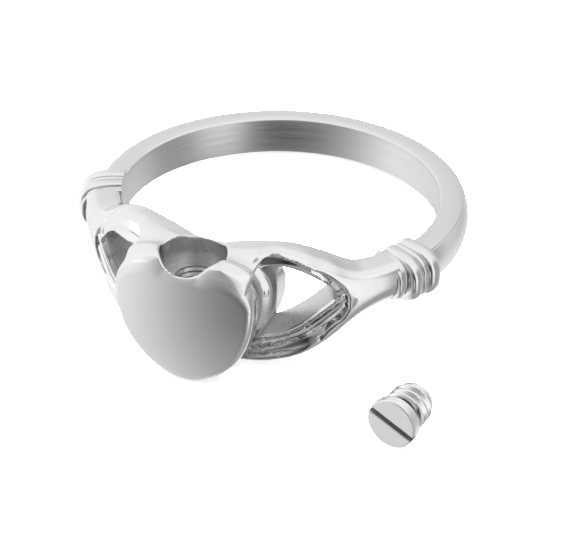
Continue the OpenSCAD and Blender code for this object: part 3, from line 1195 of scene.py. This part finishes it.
@dataclass
class Screw:
    """The closure screw: a slotted round head, a neck and a threaded shank."""

    sizes: RingSizes
    floor: float
    head_r: float = 1.38
    head_h: float = 0.58
    edge: float = 0.1
    slot_w: float = 0.3
    slot_depth: float = 0.3
    neck_r: float = 0.74
    neck_h: float = 0.42
    root_r: float = 1.03
    thread_r: float = 1.18
    shank: float = 2.07
    turns: float = 3.0
    # How far the neck goes on into the head and the shank; the room round the screw is as much
    lap: float = 0.1
    slot_soft: float = 0.05
    shank_soft: float = 0.1
    # Width and steepness of the thread's crest, and over how far it starts and ends
    crest_wide: float = 1.35
    crest_steep: float = 2.7
    thread_start: float = 0.15
    thread_end: float = 0.12
    rest_edge: float = 0.08
    x: float = 12.1
    y: float = 12.92
    turn: float = -6.0
    roll: float = 24.0
    pitch: float = 0.036

    @property
    def thread_pitch(self) -> float:
        """Rise of the thread in a turn."""
        return (self.shank - self.neck_h) / (self.turns + 0.5)

    def distance(self, x: Array, y: Array, z: Array) -> Array:
        """The screw standing on its shank: a head less its slot, a neck and a threaded shank.

        The shank's radius follows a ridge along a helix, which fades out at both ends.

        Args:
            x: Places along x, in the screw's own frame.
            y: Places along y.
            z: Heights over the head's underside.

        Returns:
            The signed distances.
        """
        r = np.hypot(x, y)
        head = both(r - self.head_r, np.maximum(z - self.head_h, -z), self.edge)
        slot = np.maximum(np.abs(y) - self.slot_w / 2, self.head_h - self.slot_depth - z)
        head = both(head, -slot, self.slot_soft)
        neck = np.maximum(r - self.neck_r, np.maximum(z - self.lap, -self.neck_h - self.lap - z))
        phase = np.mod(z / self.thread_pitch - np.arctan2(y, x) / (2 * math.pi), 1.0)
        crest = np.clip(self.crest_wide - self.crest_steep * np.abs(phase - 0.5), 0, 1)
        last = -self.neck_h - (self.turns - 0.2) * self.thread_pitch
        fade = step(-self.neck_h, -self.neck_h - self.thread_start, z)
        fade = fade * step(last, last + self.thread_end, z)
        wall = self.root_r + (self.thread_r - self.root_r) * crest * fade
        ends = np.maximum(z + self.neck_h, -self.shank - z)
        shank = both((r - wall) * STEEP, ends, self.shank_soft)
        return np.minimum(head, np.minimum(neck, shank))

    def place(self, points: Array) -> Array:
        """Lays the screw on its head's back edge and its last ridge, as the solid lies.

        Args:
            points: Points in the screw's own frame.

        Returns:
            The points in the row frame, in metres.
        """
        last = self.neck_h + (self.turns - 0.5) * self.thread_pitch
        lean = math.atan((self.head_r - self.thread_r) / (last + self.rest_edge))
        lift = self.head_r * math.cos(lean) + (self.head_h - self.rest_edge) * math.sin(lean)
        turn = (
            Matrix.Translation((self.x, -self.y, self.floor + lift))
            @ Matrix.Rotation(math.radians(self.turn), 4, "Z")
            @ Matrix.Rotation(math.pi / 2 - lean, 4, "X")
            @ Matrix.Rotation(-math.radians(self.roll), 4, "Z")
            @ Matrix.Translation((0, 0, -self.head_h))
        )
        m = np.array(turn)
        return (points @ m[:3, :3].T + m[:3, 3]) * MM

    def build(self) -> Dressed:
        """Draws the screw's skin.

        Returns:
            Points in metres, faces, and each face's finish.
        """
        r = self.head_r + self.lap
        low = np.array([-r, -r, -self.shank - self.lap])
        high = np.array([r, r, self.head_h + self.lap])
        points, faces = skin(self.distance, low, high, self.pitch)
        return self.place(points), faces, self.finishes(face_middles(points, faces))

    def finishes(self, m: Array) -> Array:
        """Names each face's finish.

        Args:
            m: The faces' middles.

        Returns:
            Each face's finish.
        """
        near = 0.02
        y, z, r = np.abs(m[:, 1]), m[:, 2], np.hypot(m[:, 0], m[:, 1])
        which = np.full(len(m), ScrewFinish.TURNED.value)
        which[z > self.head_h - near] = ScrewFinish.FACE.value
        # The slot's faces take the darker steel, painted shade in the slot
        slot = (y < self.slot_w / 2 + near / 2) & (z > self.head_h - self.slot_depth - near)
        which[slot & (z < self.head_h - 2 * near)] = ScrewFinish.SLOT.value
        # The neck's faces take the black steel, a painted shadow under the head
        neck = (z < near / 2) & (z > -self.neck_h) & (r < self.thread_r + near)
        which[neck] = ScrewFinish.NECK.value
        return which


# Materials


def colour(code: str) -> tuple[float, float, float, float]:
    """Turns an sRGB hex colour to linear light, by the sRGB curve.

    Args:
        code: The colour, as # and six digits.

    Returns:
        Red, green, blue and an alpha of 1.
    """
    parts = [int(code[i : i + 2], 16) / 255 for i in (1, 3, 5)]
    linear = [c / 12.92 if c <= 0.04045 else ((c + 0.055) / 1.055) ** 2.4 for c in parts]
    return (*linear, 1.0)


def add_node(
    tree: bpy.types.NodeTree, kind: str, links: dict[Any, Any] | None = None, **settings: Any
) -> bpy.types.Node:
    """Adds a node.

    Args:
        tree: The node tree.
        kind: The node's type.
        links: Input name or number to the socket that feeds it, or to a plain value.
        settings: The node's own settings.

    Returns:
        The new node.
    """
    node = tree.nodes.new(kind)
    for name, value in settings.items():
        setattr(node, name, value)
    for name, value in (links or {}).items():
        if isinstance(value, bpy.types.NodeSocket):
            tree.links.new(value, node.inputs[name])
        else:
            node.inputs[name].default_value = value
    return node


@dataclass(frozen=True)
class Steel:
    """Stainless steel with fine working marks, which run round the ring, or all ways."""

    name: str
    tint: str
    roughness: float
    # A mark's width, length and depth in millimetres
    mark_width: float
    mark_length: float
    mark_depth: float
    # How far the marks take the roughness up and down
    spread: float
    lean: float

    def build(self) -> bpy.types.Material:
        """Makes the material.

        The marks are a noise stretched round the bore's axis, read from Object coordinates. It
        drives the roughness and a slight bump.

        Returns:
            The material.
        """
        material = bpy.data.materials.new(self.name)
        material.use_nodes = True
        tree = material.node_tree
        tree.nodes.clear()
        out = add_node(tree, "ShaderNodeOutputMaterial")
        metal = add_node(tree, "ShaderNodeBsdfPrincipled")
        metal.inputs["Base Color"].default_value = colour(self.tint)
        metal.inputs["Metallic"].default_value = 1.0
        place = add_node(tree, "ShaderNodeTexCoord")
        upright = add_node(
            tree,
            "ShaderNodeMapping",
            {"Vector": place.outputs["Object"], "Rotation": (math.radians(self.lean), 0, 0)},
        )
        axes = add_node(tree, "ShaderNodeSeparateXYZ", {0: upright.outputs[0]})
        across = {0: axes.outputs["Y"], 1: axes.outputs["X"]}
        angle = add_node(tree, "ShaderNodeMath", across, operation="ARCTAN2")
        length = add_node(tree, "ShaderNodeVectorMath", {0: upright.outputs[0]}, operation="LENGTH")
        stretched = (
            (angle.outputs[0], BORE_RADIUS * MM / (self.mark_length * MM)),
            (axes.outputs["Z"], 1 / (self.mark_width * MM)),
            (length.outputs["Value"], 1 / (self.mark_width * MM)),
        )
        where = add_node(tree, "ShaderNodeCombineXYZ")
        for n, (source, scale) in enumerate(stretched):
            axis = add_node(tree, "ShaderNodeMath", {0: source, 1: scale}, operation="MULTIPLY")
            tree.links.new(axis.outputs[0], where.inputs[n])
        marks = add_node(
            tree, "ShaderNodeTexNoise", {"Vector": where.outputs[0], "Scale": 1.0, "Detail": 3.0}
        )
        # Nearly all of the noise lies between these two values
        weak, strong = 0.3, 0.7
        rough = add_node(
            tree,
            "ShaderNodeMapRange",
            {
                "Value": marks.outputs["Fac"],
                "From Min": weak,
                "From Max": strong,
                "To Min": self.roughness - self.spread,
                "To Max": self.roughness + self.spread,
            },
        )
        bump = add_node(
            tree,
            "ShaderNodeBump",
            {"Height": marks.outputs["Fac"], "Strength": 1.0, "Distance": self.mark_depth * MM},
        )
        tree.links.new(rough.outputs[0], metal.inputs["Roughness"])
        tree.links.new(bump.outputs[0], metal.inputs["Normal"])
        tree.links.new(metal.outputs[0], out.inputs[0])
        return material


def ring_steels(lean: float) -> list[bpy.types.Material]:
    """The ring's steels, in the order of the Finish slots."""
    return [
        # Buffed cast steel: a soft mirror with faint wheel marks
        Steel("buffed_cast_steel", "#E2E2E3", 0.11, 0.25, 2.0, 0.0004, 0.03, lean).build(),
        # Bore turned and brushed: grey, with bright streaks round the finger
        Steel("brushed_bore_steel", "#D2D2D3", 0.34, 0.06, 5.0, 0.003, 0.08, lean).build(),
        # Fine satin: wide, soft reflections with no marks to be seen
        Steel("satin_face_steel", "#D9D9DB", 0.38, 0.05, 0.4, 0.0006, 0.03, lean).build(),
        # Left as cast: rough, with a darker tint that is painted shade in the grooves and the waist
        Steel("as_cast_painted_shade_steel", "#BCBABA", 0.40, 0.09, 0.12, 0.012, 0.1, lean).build(),
    ]


def screw_steels(lean: float) -> list[bpy.types.Material]:
    """The screw's steels, in the order of the ScrewFinish slots."""
    return [
        # Turned on a lathe and tumbled: bright with faint marks
        Steel("turned_screw_steel", "#ECECED", 0.18, 0.1, 1.0, 0.0008, 0.04, lean).build(),
        # The head's face, brushed across
        Steel("brushed_screw_face", "#F2F2F2", 0.42, 0.05, 0.6, 0.008, 0.08, lean).build(),
        # Rougher in the slot, with a darker tint that is painted shade in the slot
        Steel("rough_slot_painted_shade_steel", "#BDBCBC", 0.55, 0.05, 0.3, 0.004, 0.06, lean).build(),
        # The neck's undercut, painted black as the shadow under the head
        Steel("painted_shadow_neck_steel", "#3C3B3B", 0.5, 0.05, 0.3, 0.004, 0.06, lean).build(),
    ]


# Floor, lights and camera


@dataclass
class Studio:
    """A white table in a tent that is bright at the ring's left, right and back and dark in front.

    The light that the metal mirrors all comes from the tent, and the floor is washed by a light of
    its own, so that it stays white while the metal keeps its contrast.
    """

    floor: float
    floor_half: float = 600.0
    floor_glow: float = 0.55
    wash_size: float = 500.0
    wash_height: float = 450.0
    wash_power: float = 70.0
    # Way round from the heart's front in degrees; light from below, from level and from above
    tent: Table = (
        (-180, 0.85, 0.72, 1.10),
        (-157, 0.85, 0.85, 1.05),
        (-130, 0.90, 1.10, 1.10),
        (-90, 1.10, 1.15, 1.15),
        (-60, 1.10, 1.35, 0.95),
        (-40, 0.80, 0.95, 0.65),
        (-20, 0.58, 0.52, 0.52),
        (0, 0.42, 0.22, 0.46),
        (20, 0.40, 0.10, 0.42),
        (32, 0.42, 0.02, 0.42),
        (44, 0.45, 0.25, 0.45),
        (58, 0.50, 1.20, 0.85),
        (78, 0.45, 1.10, 1.15),
        (92, 0.40, 0.40, 1.20),
        (120, 0.45, 0.45, 1.10),
        (140, 0.85, 0.75, 1.10),
        (165, 0.95, 0.62, 1.10),
        (180, 0.85, 0.72, 1.10),
    )

    def dress(self) -> None:
        """Adds the floor, the tent's light and the floor's light."""
        self.add_floor()
        self.add_tent()
        self.add_wash()

    def add_floor(self) -> None:
        """Adds a wide matt white floor, a hair under the lowest point.

        It glows a little, like a light table, and the metal doesn't mirror it.
        """
        half, hair = self.floor_half * MM, 1e-6
        z = self.floor * MM - hair
        mesh = bpy.data.meshes.new("floor")
        corners = [(-half, -half, z), (half, -half, z), (half, half, z), (-half, half, z)]
        mesh.from_pydata(corners, [], [(0, 1, 2, 3)])
        floor = bpy.data.objects.new("floor", mesh)
        floor.visible_glossy = False
        bpy.context.scene.collection.objects.link(floor)
        material = bpy.data.materials.new("matt_white_acrylic")
        material.use_nodes = True
        shader = material.node_tree.nodes["Principled BSDF"]
        shader.inputs["Base Color"].default_value = colour("#F6F6F6")
        shader.inputs["Roughness"].default_value = 0.9
        shader.inputs["Specular IOR Level"].default_value = 0.1
        shader.inputs["Emission Color"].default_value = colour("#FFFFFF")
        shader.inputs["Emission Strength"].default_value = self.floor_glow
        mesh.materials.append(material)

    def add_band(
        self, tree: bpy.types.NodeTree, round_share: bpy.types.NodeSocket, column: int
    ) -> bpy.types.NodeSocket:
        """Adds one height of the tent: a smooth ramp over the way round.

        Args:
            tree: The world's node tree.
            round_share: The way round as a share of a turn.
            column: The height's column in the table.

        Returns:
            The socket with the height's light.
        """
        node = add_node(tree, "ShaderNodeValToRGB", {"Fac": round_share})
        ramp = node.color_ramp
        ramp.interpolation = "EASE"
        while len(ramp.elements) > 1:
            ramp.elements.remove(ramp.elements[-1])
        for n, row in enumerate(self.tent):
            share = (row[0] + 180) / 360
            stop = ramp.elements.new(share) if n else ramp.elements[0]
            stop.position = share
            stop.color = (row[column], row[column], row[column], 1.0)
        return node.outputs["Color"]

    def add_tent(self) -> None:
        """Adds the tent's light, read by the way round and blended between three heights."""
        world = bpy.data.worlds.new("tent")
        world.use_nodes = True
        tree = world.node_tree
        tree.nodes.clear()
        out = add_node(tree, "ShaderNodeOutputWorld")
        place = add_node(tree, "ShaderNodeTexCoord")
        axes = add_node(tree, "ShaderNodeSeparateXYZ", {0: place.outputs["Generated"]})
        front = add_node(
            tree, "ShaderNodeMath", {0: axes.outputs["Y"], 1: -1.0}, operation="MULTIPLY"
        )
        angle = add_node(
            tree, "ShaderNodeMath", {0: axes.outputs["X"], 1: front.outputs[0]}, operation="ARCTAN2"
        )
        share = add_node(
            tree,
            "ShaderNodeMapRange",
            {"Value": angle.outputs[0], "From Min": -math.pi, "From Max": math.pi},
        )
        under, level, over = (self.add_band(tree, share.outputs[0], n) for n in (1, 2, 3))
        light = under
        for start, end, above in ((-0.75, -0.3, level), (0.25, 0.72, over)):
            weight = add_node(
                tree,
                "ShaderNodeMapRange",
                {"Value": axes.outputs["Z"], "From Min": start, "From Max": end},
                interpolation_type="SMOOTHSTEP",
            )
            blend = {"Factor": weight.outputs[0], "A": light, "B": above}
            light = add_node(tree, "ShaderNodeMix", blend, data_type="RGBA").outputs["Result"]
        glow = add_node(tree, "ShaderNodeBackground", {"Color": light})
        tree.links.new(glow.outputs[0], out.inputs[0])
        bpy.context.scene.world = world

    def add_wash(self) -> None:
        """Adds the floor's light, wide and high overhead, so that shadows stay faint."""
        light = bpy.data.lights.new("floor_wash", "AREA")
        light.size = self.wash_size * MM
        light.energy = self.wash_power
        lamp = bpy.data.objects.new("floor_wash", light)
        lamp.location = (0.0, 0.0, self.wash_height * MM)
        lamp.visible_glossy = False
        lamp.visible_camera = False
        bpy.context.scene.collection.objects.link(lamp)


@dataclass
class PhotoCamera:
    """The photograph's camera, fitted in the ring's own frame and leaned with the ring.

    The fit gave its direction from the bore's middle, its roll, its distance, its focal length in
    pixels, and the bore's middle in pixels of the 568 by 540 image.
    """

    lean: float
    azimuth: float = 24.8
    elevation: float = 30.0
    roll: float = 0.8
    distance: float = 164.0
    focal_px: float = 3000.0
    centre_px: tuple[float, float] = (280.7, 209.1)
    sensor_mm: float = 36.0

    def build(self) -> None:
        """Makes the camera and sets it as the scene's."""
        a, e = math.radians(self.azimuth), math.radians(self.elevation)
        back = Vector((math.sin(a) * math.cos(e), -math.cos(a) * math.cos(e), math.sin(e)))
        right = Vector((math.cos(a), math.sin(a), 0.0))
        up = back.cross(right)
        roll = math.radians(self.roll)
        right, up = (
            right * math.cos(roll) + up * math.sin(roll),
            up * math.cos(roll) - right * math.sin(roll),
        )
        off_x = (self.centre_px[0] - PHOTO_WIDTH / 2) / self.focal_px * self.distance
        off_y = (self.centre_px[1] - PHOTO_HEIGHT / 2) / self.focal_px * self.distance
        place = back * self.distance - right * off_x + up * off_y
        turn = Matrix((right, up, back)).transposed()
        lean = Matrix.Rotation(-math.radians(self.lean), 3, "X")
        data = bpy.data.cameras.new("photo_camera")
        data.sensor_width = self.sensor_mm
        data.lens = self.focal_px / PHOTO_WIDTH * self.sensor_mm
        data.clip_start, data.clip_end = 0.01, 3.0
        camera = bpy.data.objects.new("photo_camera", data)
        camera.matrix_world = Matrix.Translation(lean @ place * MM) @ (lean @ turn).to_4x4()
        bpy.context.scene.collection.objects.link(camera)
        bpy.context.scene.camera = camera


def show(
    name: str, built: Dressed, steels: Sequence[bpy.types.Material], node: str
) -> None:
    """Makes a piece, rides it on its node's body in the node's place, and logs it.

    Args:
        name: The piece's name.
        built: Its points, faces and finishes.
        steels: Its materials.
        node: The CAD node and body that it stands for.
    """
    piece = make_piece(name, built, steels)
    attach(piece, node)
    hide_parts(node)
    log.info("%s: %d points, %d faces", name, len(built[0]), len(built[1]))


def main() -> None:
    """Builds the ring, the screw, the studio and the camera, in that order."""
    mounts = {m["name"]: m for m in frame["record"]["mounts"]}
    axis = mounts["finger_bore"]["axis"]
    lean = math.degrees(math.atan2(axis[1], axis[2]))
    sizes = RingSizes(bore=mounts["finger_bore"]["dims"]["r_mm"], lean=lean)
    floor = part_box("ring")[0].z / MM
    steels = ring_steels(lean)
    show("head", Head(sizes, Hand(sizes), Heart(sizes)).build(), steels, "ring")
    show("cuffs", Cuff(sizes).build(), steels, "ring")
    show("band", Band(sizes).build(), steels, "ring")
    show("screw", Screw(sizes, floor).build(), screw_steels(lean), "closure_screw")
    Studio(floor).dress()
    bpy.context.scene.view_settings.view_transform = "Standard"
    PhotoCamera(lean).build()


if __name__ == "__main__":
    logging.basicConfig(level=logging.INFO, format="%(name)s: %(message)s")
    main()
